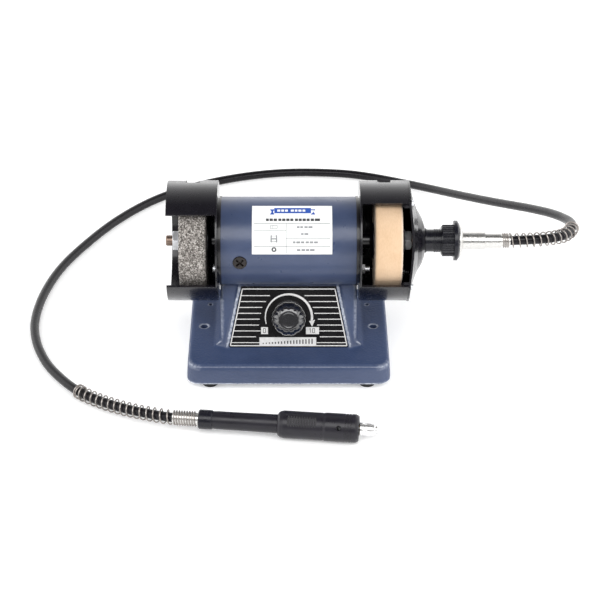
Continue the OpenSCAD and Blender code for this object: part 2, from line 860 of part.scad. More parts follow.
module handpiece_collar() {
  color(black) on_tool() rotate_extrude() polygon([
    [ferrule_r, 0], [6.4, 0], [7.1, 0.7], [7.1, collar_end - 0.8], [6.7, collar_end],
    [5.2, collar_end], [5.2, 7], [ferrule_r, 7]]);
}

module handpiece_body() {
  color(black) on_tool() rotate_extrude() polygon([
    [5.2, 7.2], [5.19, collar_end + eps], [6.4, collar_end + eps], [6.6, 14], [6.6, 30], [6.9, body_end],
    [3.8, body_end], [3.8, 22], [4.6, 22], [4.6, 7.2]]);
}

// Ribbed thumb rest: a flat on the grip, turned towards the user's thumb
thumb_angle = 50;
thumb_from = 65;
thumb_to = 86;

module thumb_side() {
  at_clock(90 - thumb_angle) children();
}

module handpiece_grip() {
  ribs = 11;
  rib_pitch = (thumb_to - thumb_from) / ribs;
  color(black) on_tool() difference() {
    rotate_extrude() polygon([
      [6.95, grip_start], [7.2, grip_start], [8.4, grip_start + 0.6], [9.4, grip_start + 2],
      [grip_r, grip_start + 4.5], [grip_r, nose_start], [6.8, nose_start], [6.8, body_end + 0.4],
      [6.95, body_end + 0.4]]);
    thumb_side() difference() {
      translate([grip_r - 1.1, -4, thumb_from]) cube([4, 8, thumb_to - thumb_from]);
      for (i = [0 : ribs]) translate([grip_r - 2, -5, thumb_from - 0.5 + i * rib_pitch])
        cube([1.7, 10, 1]);
    }
  }
}

module handpiece_nose() {
  color(black) on_tool() difference() {
    rotate_extrude() polygon([
      [5.6, nose_start], [grip_r - 0.2, nose_start], [grip_r - 0.2, nose_start + 0.6],
      [nose_r, nose_start + 2.4], [nose_r, nose_end - 2.4], [nose_r - 0.6, nose_end - 1],
      [nose_r - 1.4, nose_end], [5.6, nose_end]]);
    at_clock(58) translate([0, 0, lock_at]) rotate([0, 90, 0]) cylinder(r = 1.8, h = 20);
    for (z = [106.5, 108.5, 110.5]) tube(20, nose_r - 0.35, z, z + 0.7);
  }
}

module handpiece_bushes() {
  color(brass) on_tool() {
    tube(4.6, tool_shaft_r + 0.05, 12, 20);
    tube(5.6, tool_shaft_r + 0.05, nose_start + 1, nose_start + 8);
    tube(5.6, tool_shaft_r + 0.05, nose_end - 10, nose_end - 4);
  }
}

module handpiece_spindle() {
  color(steel) on_tool() difference() {
    union() {
      translate([0, 0, 8]) cylinder(r = tool_shaft_r, h = 111);
      translate([0, 0, -6]) cylinder(r = 2.2, h = 14.5);
    }
    at_clock(58) translate([0, 0, lock_at]) rotate([0, 90, 0]) cylinder(r = 1.3, h = 8);
    translate([0, 0, 114]) cylinder(r = 2.2, h = 8);
  }
}

module collet() {
  color(steel) on_tool() difference() {
    union() {
      translate([0, 0, 114]) cylinder(r = 2.2, h = 11);
      translate([0, 0, 125]) cylinder(r1 = 2.2, r2 = 2.9, h = 3);
      translate([0, 0, 128]) cylinder(r = 2.6, h = 1.6);
    }
    translate([0, 0, 116]) cylinder(d = collet_d, h = 20);
    for (turn = [0, 60, 120]) rotate([0, 0, turn]) translate([-4, -0.2, 119]) cube([8, 0.4, 14]);
  }
}

module collet_nut() {
  color(chrome) on_tool() difference() {
    rotate_extrude() polygon([
      [tool_shaft_r, nose_end + 0.4], [4.4, nose_end + 0.4], [4.65, nose_end + 0.9], [4.65, 123],
      [3.9, 127.2], [3.4, 128.2], [2.95, 128.2], [2.25, 125], [2.25, 119.2], [tool_shaft_r, 119.2]]);
    for (i = [0 : 5]) rotate([0, 0, i * 60]) translate([4.65, 0, 119])
      cylinder(r = 0.7, h = 3.4);
  }
}

// ---- Rotor ----

module spindle() {
  color(steel) on_spindle() {
    translate([0, 0, -92]) cylinder(r1 = shaft_r - 0.6, r2 = shaft_r, h = 0.7);
    translate([0, 0, -91.3]) cylinder(r = shaft_r, h = 186.3);
    translate([0, 0, -bearing_x + bearing_w / 2])
      cylinder(r = rotor_r, h = 2 * bearing_x - bearing_w);
  }
}

module armature_core() {
  slots = 12;
  color(steel) on_spindle() difference() {
    tube(core_r, rotor_r, core_from, core_to);
    for (i = [0 : slots - 1]) rotate([0, 0, i * 360 / slots]) translate([0, 0, core_from - 1]) {
      translate([12, 0, 0]) cylinder(r = 1.8, h = 60);
      translate([12, -0.7, 0]) cube([6, 1.4, 60]);
    }
  }
}

module armature_windings() {
  slots = 12;
  color(copper) on_spindle() {
    for (i = [0 : slots - 1]) rotate([0, 0, i * 360 / slots])
      translate([12, 0, core_from - 1]) cylinder(r = 1.7, h = core_to - core_from + 2);
    translate([0, 0, core_from - 4.2]) rotate_extrude() translate([10.6, 0]) circle(r = 3.6);
    translate([0, 0, core_to + 4.2]) rotate_extrude() translate([10.6, 0]) circle(r = 3.6);
  }
}

module commutator() {
  bars = 24;
  color(copper) on_spindle() difference() {
    union() {
      tube(commutator_r, rotor_r, brush_x - 4.5, brush_x + 6);
      tube(commutator_r + 1, rotor_r, brush_x + 5.9, brush_x + 7.4);
    }
    for (i = [0 : bars - 1]) rotate([0, 0, i * 360 / bars])
      translate([commutator_r - 0.8, -0.2, brush_x - 5]) cube([4, 0.4, 14]);
  }
}

module cooling_fan() {
  blades = 9;
  color(dark) on_spindle() {
    tube(9, rotor_r, 31, 40);
    tube(20.5, 8.5, 31, 32.4);
    for (i = [0 : blades - 1]) rotate([0, 0, i * 360 / blades])
      translate([8.5, -0.7, 32]) cube([12, 1.4, 7.6]);
  }
}

// Inner flange: spacer against the bearing, dished disc, and spigot in the wheel's bore
module inner_flange(wheel_face) {
  rotate_extrude() polygon([
    [shaft_r, bearing_x + bearing_w / 2 + 0.01], [5.6, bearing_x + bearing_w / 2 + 0.01],
    [5.6, wheel_face - 3.4],
    [8, wheel_face - 3.4], [flange_r - 1, wheel_face - 1.4], [flange_r, wheel_face - 0.8],
    [flange_r, wheel_face], [wheel_bore_d / 2, wheel_face],
    [wheel_bore_d / 2, wheel_face + 14], [shaft_r, wheel_face + 14]]);
}

module inner_flanges() {
  color(zinc) on_spindle() {
    left_side() inner_flange(left_wheel_in);
    inner_flange(right_wheel_in);
  }
}

module wheel(inner_face) {
  edge = 0.8;
  r = wheel_r;
  rotate_extrude() polygon([
    [wheel_bore_d / 2, inner_face], [r - edge, inner_face], [r, inner_face + edge],
    [r, inner_face + wheel_w - edge], [r - edge, inner_face + wheel_w],
    [wheel_bore_d / 2, inner_face + wheel_w]]);
}

module grinding_wheel() {
  color([0.45, 0.44, 0.41]) on_spindle() left_side() wheel(left_wheel_in);
}

module felt_wheel() {
  color([0.85, 0.62, 0.40]) on_spindle() wheel(right_wheel_in);
}

left_out = left_wheel_in + wheel_w;
right_out = right_wheel_in + wheel_w;

module outer_flanges() {
  color(zinc) on_spindle() {
    left_side() rotate_extrude() polygon([
      [shaft_r, left_out], [9.2, left_out], [9.2, left_out + 0.9], [8.6, left_out + 1.5],
      [shaft_r, left_out + 1.5]]);
    rotate_extrude() polygon([
      [shaft_r, right_out], [flange_r, right_out], [flange_r, right_out + 0.8],
      [flange_r - 1, right_out + 1.4], [8, right_out + 3.2], [shaft_r, right_out + 3.2]]);
  }
}

module wheel_nuts() {
  color(zinc) on_spindle() {
    left_side() hexagon_nut(nut_af, shaft_r, left_out + 1.5, left_out + 6);
    hexagon_nut(nut_af, shaft_r, right_out + 3.2, right_out + 8);
  }
}

module drive_tip() {
  color(steel) on_spindle() {
    translate([0, 0, 95]) cylinder(r = 3.2, h = 8);
    translate([-1.6, -1.6, 102.9]) cube([3.2, 3.2, 28]);
  }
}

base_casting();
base_cover();
rubber_feet();
foot_screws();
control_panel();
speed_potentiometer();
potentiometer_nut();
speed_board();
board_components();
mains_gland();
motor_housing();
end_bell_left();
end_bell_right();
stator_core();
field_coils();
brush_holders();
carbon_brushes();
brush_springs();
brush_caps();
bearing_outer_rings();
bearing_balls();
tie_bolts();
tie_nuts();
rating_label();
left_guard();
right_guard();
right_guard_cover();
cover_screws();
coupling_spout();
shaft_nut();
shaft_washer();
motor_ferrule();
motor_end_spring();
flex_sheath();
tool_end_spring();
tool_ferrule();
handpiece_collar();
handpiece_body();
handpiece_grip();
handpiece_nose();
handpiece_bushes();
spindle();
bearing_inner_rings();
armature_core();
armature_windings();
commutator();
cooling_fan();
inner_flanges();
grinding_wheel();
felt_wheel();
outer_flanges();
wheel_nuts();
drive_tip();
speed_knob();
potentiometer_shaft();
handpiece_spindle();
collet();
collet_nut();
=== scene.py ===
import json
import math

import bpy
import numpy as np
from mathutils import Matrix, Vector, noise


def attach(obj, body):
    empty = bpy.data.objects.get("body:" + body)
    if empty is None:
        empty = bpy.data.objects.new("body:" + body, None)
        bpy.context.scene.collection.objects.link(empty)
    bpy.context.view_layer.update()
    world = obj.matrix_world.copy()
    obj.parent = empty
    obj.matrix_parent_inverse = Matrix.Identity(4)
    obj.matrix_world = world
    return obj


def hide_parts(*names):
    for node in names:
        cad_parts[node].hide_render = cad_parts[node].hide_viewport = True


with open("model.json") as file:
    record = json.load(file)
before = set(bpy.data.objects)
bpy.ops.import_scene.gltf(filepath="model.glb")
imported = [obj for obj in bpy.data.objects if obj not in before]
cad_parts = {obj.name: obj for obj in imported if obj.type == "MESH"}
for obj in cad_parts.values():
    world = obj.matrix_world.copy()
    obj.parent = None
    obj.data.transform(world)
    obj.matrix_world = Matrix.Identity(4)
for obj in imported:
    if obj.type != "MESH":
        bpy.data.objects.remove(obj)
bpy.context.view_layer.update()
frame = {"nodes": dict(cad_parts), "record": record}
nodes = frame["nodes"]
scene = bpy.context.scene
MM = 0.001
SPINDLE_H = 95
HOUSING_R = 33

# ---- Camera ----

camera = bpy.data.objects.new("camera", bpy.data.cameras.new("camera"))
scene.collection.objects.link(camera)
scene.camera = camera
camera.data.sensor_width = 36
camera.data.lens = 115.5
camera.data.shift_x = 0.0252
camera.location = (0, -1.2697, 0.82335)
LOOK_DOWN = 31.705
camera.rotation_euler = (math.radians(90 - LOOK_DOWN), 0, 0)

# ---- Mesh helpers ----


def mesh_object(name, points, faces, body, material, smooth=True, angle=35):
    """New piece that moves with the body; edges sharper than angle, in degrees, stay sharp."""
    mesh = bpy.data.meshes.new(name)
    mesh.from_pydata([tuple(p) for p in points], [], faces)
    mesh.validate()
    if smooth:
        mesh.shade_smooth()
        mesh.set_sharp_from_angle(angle=math.radians(angle))
    piece = bpy.data.objects.new(name, mesh)
    scene.collection.objects.link(piece)
    mesh.materials.append(material)
    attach(piece, body)
    return piece


def rings_mesh(rings, closed=False):
    """Points and faces of a solid through rings that all have the same number of points."""
    sides, count = len(rings[0]), len(rings)
    points = [p for ring in rings for p in ring]
    faces = []
    for i in range(count if closed else count - 1):
        a, b = i * sides, ((i + 1) % count) * sides
        faces += [(a + j, b + j, b + (j + 1) % sides, a + (j + 1) % sides) for j in range(sides)]
    if not closed:
        faces.append(tuple(range(sides)))
        faces.append(tuple(reversed(range((count - 1) * sides, count * sides))))
    return points, faces


def refined(profile, step):
    """The closed profile with extra points, no two further apart than step."""
    out = []
    for i, a in enumerate(profile):
        b = profile[(i + 1) % len(profile)]
        n = max(1, math.ceil(math.dist(a, b) / step))
        out += [(a[0] + (b[0] - a[0]) * k / n, a[1] + (b[1] - a[1]) * k / n) for k in range(n)]
    return out


def revolved(profile, segments, place):
    """Ring-shaped solid of a closed profile of (radius, height).

    place turns a radius, an angle and a height into a point.
    """
    rings = [[place(r, 2 * math.pi * k / segments, h) for r, h in profile] for k in range(segments)]
    return rings_mesh(rings, closed=True)


# ---- Flexible shaft ----

# Centreline in millimetres, from the motor ferrule to the tool ferrule
ROUTE = [Vector(p) * MM for p in [
    (166, 0, 95), (181, 1, 95), (196, 5, 94), (208, 13, 92), (215, 25, 90), (218, 42, 86),
    (215, 61, 80), (207, 84, 72), (193, 114, 60), (171, 153, 44), (147, 196, 27),
    (124, 232, 14), (98, 259, 6), (66, 276, 3.5), (30, 282, 3.5), (-10, 281, 3.5),
    (-50, 271, 3.5), (-86, 254, 3.5), (-118, 230, 3.5), (-146, 196, 3.5), (-169, 156, 3.5),
    (-187, 115, 3.5), (-197, 74, 3.5), (-200, 35, 3.5), (-196, 4, 3.5), (-186, -25, 3.5),
    (-173, -48, 4.4), (-157, -69, 5.8), (-139, -83, 6.2), (-121, -94, 7.4), (-103, -103, 9),
    (-84, -110, 10.3)]]
LAST = len(ROUTE) - 1
START_WAY = Vector((1, 0, 0))
TOOL_TURN = math.radians(-6)
END_WAY = Vector((math.cos(TOOL_TURN), math.sin(TOOL_TURN), 0))
SHEATH_R = 0.0035
START_LEAD, END_LEAD = 0.014, 0.020


def knot(i):
    """Point i of the route, with one more beyond each end."""
    if i < 0:
        return ROUTE[0] - START_LEAD * START_WAY
    if i > LAST:
        return ROUTE[LAST] + END_LEAD * END_WAY
    return ROUTE[i]


def route_at(u):
    """Catmull-Rom curve through the route, never lower than the sheath lies on the bench."""
    i = min(int(u), LAST - 1)
    a, b, c, d, t = knot(i - 1), knot(i), knot(i + 1), knot(i + 2), u - i
    p = 0.5 * (2 * b + (c - a) * t + (2 * a - 5 * b + 4 * c - d) * t * t + (3 * b - a - 3 * c + d) * t ** 3)
    return Vector((p.x, p.y, max(p.z, SHEATH_R)))


stations = [route_at(k / 10) for k in range(LAST * 10 + 1)]
distances = [0.0]
for p, q in zip(stations, stations[1:]):
    distances.append(distances[-1] + (q - p).length)
SHEATH_LEN = distances[-1]


def along(s):
    """Point at arc length s, on a straight line beyond each end."""
    if s <= 0:
        return ROUTE[0] + s * START_WAY
    if s >= SHEATH_LEN:
        return ROUTE[LAST] + (s - SHEATH_LEN) * END_WAY
    k = next(i for i, d in enumerate(distances) if d > s) - 1
    share = (s - distances[k]) / (distances[k + 1] - distances[k])
    return route_at((k + share) / 10)


def frame_at(s):
    """Point at arc length s, the way there, and two directions across it."""
    way = (along(s + 0.001) - along(s - 0.001)).normalized()
    across = Vector((0, 0, 1)).cross(way).normalized()
    return along(s), way, across, way.cross(across)


def circle(sides):
    return [2 * math.pi * k / sides for k in range(sides)]


def ring_at(s, r, sides):
    p, _, across, over = frame_at(s)
    return [p + r * (math.cos(a) * across + math.sin(a) * over) for a in circle(sides)]


SPRING_R = 0.00515
WIRE_R = 0.00055
STEPS_PER_TURN = 24
WIRE_SIDES = 10


def spring(name, stages, material):
    """Helical wire through stages of (arc length, turns)."""
    rings = []
    for k in range(stages[-1][1] * STEPS_PER_TURN + 1):
        turn = k / STEPS_PER_TURN
        i = max(j for j in range(len(stages) - 1) if stages[j][1] <= turn)
        (s0, t0), (s1, t1) = stages[i], stages[i + 1]
        s = s0 + (s1 - s0) * (turn - t0) / (t1 - t0)
        p, way, across, over = frame_at(s)
        a = 2 * math.pi * turn
        out = math.cos(a) * across + math.sin(a) * over
        wire = p + SPRING_R * out
        rings.append([wire + WIRE_R * (math.cos(b) * out + math.sin(b) * way) for b in circle(WIRE_SIDES)])
    points, faces = rings_mesh(rings)
    piece = mesh_object(name, points, faces, "grinder", material, angle=60)
    return piece


# ---- Material helpers ----


class Nodes:
    """Short way to add shader nodes: a value that is a socket is linked, any other is set."""

    def __init__(self, name):
        self.material = bpy.data.materials.new(name)
        self.material.use_nodes = True
        self.tree = self.material.node_tree
        self.shader = next(n for n in self.tree.nodes if n.type == "BSDF_PRINCIPLED")
        coordinates = self.tree.nodes.new("ShaderNodeTexCoord")
        self.place = coordinates.outputs["Object"]

    def add(self, kind, inputs=None, **settings):
        node = self.tree.nodes.new("ShaderNode" + kind)
        for key, value in settings.items():
            setattr(node, key, value)
        for key, value in (inputs or {}).items():
            self.put(node.inputs[key], value)
        return node

    def put(self, socket, value):
        if isinstance(value, bpy.types.NodeSocket):
            self.tree.links.new(value, socket)
        else:
            socket.default_value = value

    def set(self, **inputs):
        for key, value in inputs.items():
            self.put(self.shader.inputs[key.replace("_", " ")], value)

    def noise(self, scale, detail=4.0, rough=0.55, place=None):
        return self.add("TexNoise", {"Vector": place or self.place, "Scale": scale, "Detail": detail,
                                     "Roughness": rough}).outputs["Fac"]

    def cells(self, scale, feature="F1", output="Distance"):
        return self.add("TexVoronoi", {"Vector": self.place, "Scale": scale}, feature=feature).outputs[output]

    def stretched(self, scale):
        return self.add("Mapping", {"Vector": self.place, "Scale": scale}).outputs["Vector"]

    def ramp(self, value, stops):
        """Colours along the value, from stops of (position, colour)."""
        node = self.add("ValToRGB", {"Fac": value})
        elements = node.color_ramp.elements
        while len(elements) < len(stops):
            elements.new(0.5)
        for element, (at, colour) in zip(elements, stops):
            element.position = at
            element.color = (*colour, 1)
        return node.outputs["Color"]

    def grey(self, value, stops):
        return self.ramp(value, [(at, (v, v, v)) for at, v in stops])

    def times(self, a, b):
        return self.add("Math", {0: a, 1: b}, operation="MULTIPLY").outputs["Value"]

    def mix(self, factor, a, b):
        """Colour a where the factor is 0, colour b where it is 1."""
        node = self.add("Mix", data_type="RGBA")
        for key, value in ((0, factor), (6, a), (7, b)):
            self.put(node.inputs[key], (*value, 1) if isinstance(value, tuple) else value)
        return node.outputs[2]

    def bump(self, height, strength, distance, normal=None):
        inputs = {"Height": height, "Strength": strength, "Distance": distance}
        if normal:
            inputs["Normal"] = normal
        return self.add("Bump", inputs).outputs["Normal"]

    def edges(self, radius):
        """Normal that rounds sharp edges by the radius."""
        return self.add("Bevel", {"Radius": radius}, samples=4).outputs["Normal"]


def paint(name, colour, light, worn_and_highlight=None, rough=0.31, shine=0.5, coat=0.12, lumps=0.12, size=300):
    """Gloss hammered paint with soft lumps.

    The pale edge colour goes on outer edges and is partly rubbed paint, partly a painted edge highlight;
    paint that has it is duller where it doesn't face the front, which is painted shade and not a property of
    the paint.
    """
    n = Nodes(name)
    base = n.ramp(n.noise(38, 5), [(0.32, colour), (0.72, light)])
    specks = n.grey(n.noise(1100, 2), [(0.66, 0), (0.76, 1)])
    base = n.mix(n.times(specks, 0.18), base, tuple(2 * c + 0.02 for c in colour))
    if worn_and_highlight:
        wear_and_highlight = n.add("Attribute", attribute_name="wear_and_highlight").outputs["Fac"]
        patches = n.grey(n.noise(420, 5, 0.7), [(0.38, 0.25), (0.60, 1)])
        # Pale colour on outer edges: partly rubbed paint, partly a painted edge highlight.
        base = n.mix(n.times(wear_and_highlight, patches), base, worn_and_highlight)
        # Specular level is lower on surfaces that face away from the object's front: painted shade standing
        # in for the studio's light, not a property of the paint.
        rearward = n.add("SeparateXYZ", {0: n.add("TexCoord").outputs["Normal"]}).outputs["Y"]
        shine = n.grey(n.times(rearward, -1.0), [(0.0, 0.05), (0.45, shine), (0.95, 2 * shine)])
    lumpy = n.cells(size, "SMOOTH_F1")
    fine = n.noise(1500, 3)
    n.set(Base_Color=base, Roughness=n.grey(n.noise(120, 4), [(0.3, rough - 0.05), (0.7, rough + 0.08)]),
          Coat_Weight=coat, Coat_Roughness=0.25, Specular_IOR_Level=shine,
          Normal=n.bump(fine, 0.10, 0.0002, n.bump(lumpy, lumps, 0.0005, n.edges(0.0005))))
    return n.material


def black_paint(name, rough=0.2, colour=(0.0028, 0.0024, 0.0042), coat=0.5):
    """Sheet-metal gloss paint with orange peel and faint handling marks."""
    n = Nodes(name)
    marks = n.grey(n.noise(55, 6, 0.7), [(0.35, rough), (0.75, rough + 0.16)])
    tone = n.ramp(n.noise(20, 3), [(0.3, colour), (0.8, tuple(2.1 * c for c in colour))])
    n.set(Base_Color=tone, Roughness=marks, Coat_Weight=coat, Coat_Roughness=0.08, Specular_IOR_Level=0.4,
          Normal=n.bump(n.noise(700, 2), 0.10, 0.0003, n.edges(0.0004)))
    return n.material


def plastic(name, colour, rough=0.42, grain=0.25, scale=2600, shine=0.4, coat=0.0):
    """Moulded plastic or rubber with a fine grain of the given scale."""
    n = Nodes(name)
    tone = n.ramp(n.noise(60, 5), [(0.3, colour), (0.8, tuple(1.8 * c for c in colour))])
    n.set(Base_Color=tone, Roughness=n.grey(n.noise(160, 4), [(0.3, rough - 0.07), (0.75, rough + 0.1)]),
          Specular_IOR_Level=shine, Coat_Weight=coat, Coat_Roughness=0.05,
          Normal=n.bump(n.noise(scale, 3), grain, 0.00012, n.edges(0.0003)))
    return n.material


def metal(name, colour, stain, rough=0.28, scratch=(1, 1, 1), grain=0.15, scale=1500, bevel=0.0003):
    """Bare or plated metal with stains, and scratches drawn out along one axis."""
    n = Nodes(name)
    tone = n.ramp(n.noise(150, 5, 0.65), [(0.35, colour), (0.8, stain)])
    lines = n.noise(scale, 4, 0.6, n.stretched(scratch))
    n.set(Base_Color=tone, Metallic=1.0,
          Roughness=n.grey(lines, [(0.3, rough - 0.1), (0.75, rough + 0.14)]),
          Normal=n.bump(lines, grain, 0.0001, n.edges(bevel)))
    return n.material


def abrasive():
    """Bonded grit: pale and dark grains, with pores between them."""
    n = Nodes("abrasive_grey")
    grain = n.cells(1150, output="Color")
    tone = n.ramp(grain, [(0.15, (0.10, 0.09, 0.08)), (0.42, (0.23, 0.21, 0.195)),
                          (0.62, (0.35, 0.325, 0.30)), (0.88, (0.58, 0.55, 0.52))])
    pores = n.grey(n.noise(1000, 3, 0.6), [(0.38, 0.0), (0.50, 1.0)])
    tone = n.mix(pores, (0.05, 0.045, 0.04), tone)
    n.set(Base_Color=tone, Roughness=0.88, Specular_IOR_Level=0.3,
          Normal=n.bump(n.cells(1150), 0.4, 0.0003, n.bump(pores, 0.4, 0.0003)))
    return n.material


def felt(name, colour, pale):
    """Pressed wool felt: soft fibres, a light bloom, and a painted highlight as a pale rim at the outer face.
    """
    n = Nodes(name)
    tone = n.ramp(n.noise(45, 5, 0.6), [(0.3, colour), (0.75, pale)])
    outward = n.add("SeparateXYZ", {"Vector": n.place}).outputs["X"]
    # Pale rim at the outer face's corner: a painted highlight where light catches the edge.
    painted_rim_highlight = n.grey(outward, [(0.0829, 0.0), (0.0833, 1.0)])
    tone = n.mix(painted_rim_highlight, tone, (0.90, 0.89, 0.86))
    fibre = n.noise(1300, 5, 0.7, n.stretched((1, 0.35, 0.35)))
    bloom = n.grey(fibre, [(0.35, 0.0), (0.7, 0.35)])
    tone = n.mix(bloom, tone, tuple(1.2 * c + 0.03 for c in pale))
    n.set(Base_Color=tone, Roughness=0.93, Sheen_Weight=0.35, Sheen_Roughness=0.5,
          Sheen_Tint=(1, 0.9, 0.8, 1), Specular_IOR_Level=0.2, Normal=n.bump(fibre, 0.45, 0.0003))
    return n.material


def printed(name, colour, rough=0.4, metallic=0.0, drift=0.85):
    """Ink or card; drift is how dark its darker patches are."""
    n = Nodes(name)
    tone = n.ramp(n.noise(400, 4, 0.6), [(0.3, tuple(drift * c for c in colour)), (0.7, colour)])
    n.set(Base_Color=tone, Metallic=metallic,
          Roughness=n.grey(n.noise(900, 3), [(0.3, rough - 0.06), (0.7, rough + 0.06)]),
          Normal=n.bump(n.noise(2500, 2), 0.08, 0.0001))
    return n.material


MATERIALS = {
    "hammered_blue": paint("hammered_blue", (0.040, 0.058, 0.118), (0.053, 0.074, 0.146)),
    "guard_black": black_paint("guard_black"),
    "bell_black": black_paint("bell_black", 0.3),
    "panel_black": black_paint("panel_black", 0.2, (0.0012, 0.0009, 0.0016), 0.0),
    "zinc_plate": metal("zinc_plate", (0.60, 0.61, 0.62), (0.45, 0.46, 0.46), 0.35),
    "zinc_steel": metal("zinc_steel", (0.90, 0.92, 0.96), (0.76, 0.77, 0.78), 0.42),
    "core_steel": metal("core_steel", (0.30, 0.31, 0.33), (0.18, 0.17, 0.16), 0.45, (8, 1, 1)),
    "spindle_steel": metal("spindle_steel", (0.30, 0.23, 0.19), (0.18, 0.12, 0.09), 0.38, (6, 1, 1)),
    "tool_steel": metal("tool_steel", (0.93, 0.93, 0.93), (0.84, 0.84, 0.83), 0.30, (0.3, 1, 1), 0.1),
    "bearing_steel": metal("bearing_steel", (0.65, 0.66, 0.68), (0.55, 0.56, 0.58), 0.16),
    "chrome_silver": metal("chrome_silver", (0.74, 0.73, 0.71), (0.67, 0.66, 0.64), 0.28, (0.2, 1, 1), 0.08),
    "spring_steel": metal("spring_steel", (0.40, 0.37, 0.35), (0.26, 0.23, 0.21), 0.30,
                          grain=0.1, bevel=0.0001),
    "brass": metal("brass", (0.78, 0.58, 0.26), (0.50, 0.34, 0.13), 0.3),
    "copper_wire": metal("copper_wire", (0.70, 0.28, 0.13), (0.45, 0.16, 0.07), 0.35, (1, 6, 6), 0.4, 900),
    "copper_bar": metal("copper_bar", (0.78, 0.40, 0.24), (0.40, 0.20, 0.13), 0.28, (5, 1, 1)),
    "carbon": plastic("carbon", (0.015, 0.015, 0.016), 0.7, 0.5, 1800),
    "board_green": plastic("board_green", (0.015, 0.13, 0.045), 0.35, 0.15, 900),
    "component_black": plastic("component_black", (0.02, 0.02, 0.022), 0.5),
    "black_plastic": plastic("black_plastic", (0.005, 0.005, 0.009), 0.26, 0.2),
    "grip_black": plastic("grip_black", (0.009, 0.008, 0.012), 0.33, 0.3, 2200),
    "gloss_black": plastic("gloss_black", (0.004, 0.004, 0.006), 0.13, 0.2, 500, shine=1.0, coat=1.0),
    "sheath_black": plastic("sheath_black", (0.005, 0.0045, 0.006), 0.27, 0.12, 1400, shine=0.25),
    "foot_rubber": plastic("foot_rubber", (0.014, 0.014, 0.014), 0.75, 0.5, 1500),
    "label_white": printed("label_white", (0.87, 0.88, 0.87), 0.35, drift=0.97),
    "abrasive_grey": abrasive(),
    "felt_tan": felt("felt_tan", (0.60, 0.405, 0.245), (0.69, 0.50, 0.335)),
}
SLOT_OF = {part["node"]: part["material_slot"] for part in frame["record"]["subparts"]}
for name, node in nodes.items():
    node.data.materials.clear()
    node.data.materials.append(MATERIALS[SLOT_OF[name]])
brush_cap_brown = plastic("brush_cap_brown", (0.009, 0.006, 0.005), 0.2, 0.1, 900)
for name, material in (("brush_caps", brush_cap_brown), ("handpiece_spindle", MATERIALS["core_steel"]),
                       ("collet_nut", MATERIALS["tool_steel"])):
    nodes[name].data.materials[0] = material
# Its pale edge colour is partly rubbed paint and partly a painted edge highlight.
cast_blue = paint("cast_blue", (0.038, 0.058, 0.124), (0.050, 0.073, 0.150), worn_and_highlight=(0.62, 0.66, 0.74),
                  rough=0.36, shine=0.33, coat=0.0, lumps=0.4, size=650)

# ---- Sheath and springs ----

SHEATH_STEPS = 420
rings = [ring_at(k * SHEATH_LEN / SHEATH_STEPS, SHEATH_R, 24) for k in range(SHEATH_STEPS + 1)]
sheath = mesh_object("sheath_tube", *rings_mesh(rings), "grinder", MATERIALS["sheath_black"])
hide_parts("flex_sheath")

motor_spring = spring("motor_spring_wire", [
    (-0.0058, 0), (-0.0010, 3), (0.0614, 15), (0.0646, 17)], MATERIALS["spring_steel"])
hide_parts("motor_end_spring")
TOOL_HEAD = SHEATH_LEN + 0.0005
tool_spring = spring("tool_spring_wire", [
    (TOOL_HEAD - 0.0842, 0), (TOOL_HEAD - 0.0810, 2), (TOOL_HEAD, 17), (TOOL_HEAD + 0.0170, 26)],
    MATERIALS["spring_steel"])
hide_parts("tool_end_spring")

[route_at(k / 10) for k in range(LAST * 10 + 1)]

# ---- Wheels ----


WHEEL_R, WHEEL_W, WHEEL_EDGE, WHEEL_BORE = 37.5, 20, 0.8, 5


def wheel(name, slot, inner, side, step, segments, depth, detail):
    """Roughened wheel on the right (side 1) or the left (side -1).

    inner is how far its inner face is from the middle, in millimetres.
    """
    r, edge, outer = WHEEL_R, WHEEL_EDGE, inner + WHEEL_W
    outline = [(WHEEL_BORE, inner), (r - edge, inner), (r, inner + edge), (r, outer - edge),
               (r - edge, outer), (WHEEL_BORE, outer)]

    def place(radius, angle, x):
        p = Vector((side * x, -radius * math.sin(angle), SPINDLE_H + radius * math.cos(angle)))
        relief = depth * (noise.noise(p * detail) + 0.5 * noise.noise(p * detail * 2.3))
        if radius > WHEEL_BORE + 1:
            outward = side if x > inner + WHEEL_W / 2 else -side
            p.x += relief * outward * (radius < r - edge + 0.01)
            p.y -= relief * math.sin(angle)
            p.z += relief * math.cos(angle)
        return p * MM

    points, faces = revolved(refined(outline, step), segments, place)
    piece = mesh_object(name, points, faces, "rotor", MATERIALS[slot], angle=60)
    return piece


grit = wheel("grinding_wheel_grit", "abrasive_grey", 60.8, -1, step=0.7, segments=360, depth=0.16, detail=0.9)
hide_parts("grinding_wheel")
wool = wheel("felt_wheel_wool", "felt_tan", 63.8, 1, step=1.4, segments=240, depth=0.10, detail=0.35)
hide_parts("felt_wheel")

# ---- Control panel ----

LEAN = math.radians(24)
PANEL_AT = Vector((0, -33, 22))
PANEL_UP = Vector((0, math.sin(LEAN), math.cos(LEAN)))
PANEL_OUT = Vector((0, -math.cos(LEAN), math.sin(LEAN)))
PANEL_THICK = 0.8
INK_TOP = PANEL_THICK + 0.06


def on_panel(u, v, w):
    """Point at u to the right, v up and w out from the middle of the panel's lower edge, in millimetres."""
    return (PANEL_AT + Vector((u, 0, 0)) + v * PANEL_UP + w * PANEL_OUT) * MM


